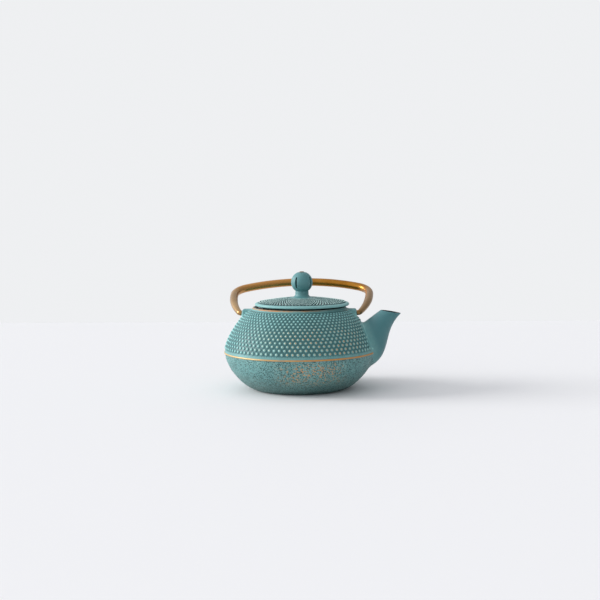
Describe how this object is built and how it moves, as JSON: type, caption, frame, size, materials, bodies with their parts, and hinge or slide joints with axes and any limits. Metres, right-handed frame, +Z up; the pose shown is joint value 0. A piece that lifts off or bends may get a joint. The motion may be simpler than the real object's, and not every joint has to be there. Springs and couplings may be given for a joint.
{
  "type": "cast iron teapot",
  "caption": "Low round cast iron teapot with a hobnail shoulder, gold belt line, bail handle, slotted ball knob, short spout and a lift-out steel tea basket under the lid.",
  "frame": {"origin": "centre of the foot ring, on the surface that the pot stands on", "axes": "+Z up, +X from the middle of the pot towards the spout, +Y away from the side that faces the viewer"},
  "size_m": [0.1763, 0.1612, 0.1167],
  "materials": {
    "glazed_iron": "satin paint over sand-cast iron, brushed with gold on the high spots",
    "black_enamel": "fired enamel, semi-gloss",
    "bronzed_iron": "satin bronze-coloured coat",
    "rivet_metal": "darkened",
    "basket_steel": "brushed"
  },
  "bodies": {
    "pot": {"pot_body": "glazed_iron", "enamel_lining": "black_enamel"},
    "handle": {"bail_handle": "bronzed_iron"},
    "infuser": {"infuser_rim": "basket_steel", "infuser_mesh": "basket_steel", "infuser_base": "basket_steel"},
    "lid_assembly": {"lid": "glazed_iron", "knob": "glazed_iron", "knob_rivet": "rivet_metal", "rivet_washer": "basket_steel"}
  },
  "joints": [
    {"name": "bail_swing", "type": "hinge", "parent": "pot", "child": "handle", "pos_m": [0, 0, 0.0753], "axis": [1, 0, 0], "range_deg": [0, 146]},
    {"name": "infuser_lift", "type": "slide", "parent": "pot", "child": "infuser", "axis": [0, 0, 1], "range_m": [0, 0.07]},
    {"name": "lid_lift", "type": "slide", "parent": "infuser", "child": "lid_assembly", "axis": [0, 0, 1], "range_m": [0, 0.05]}
  ]
}
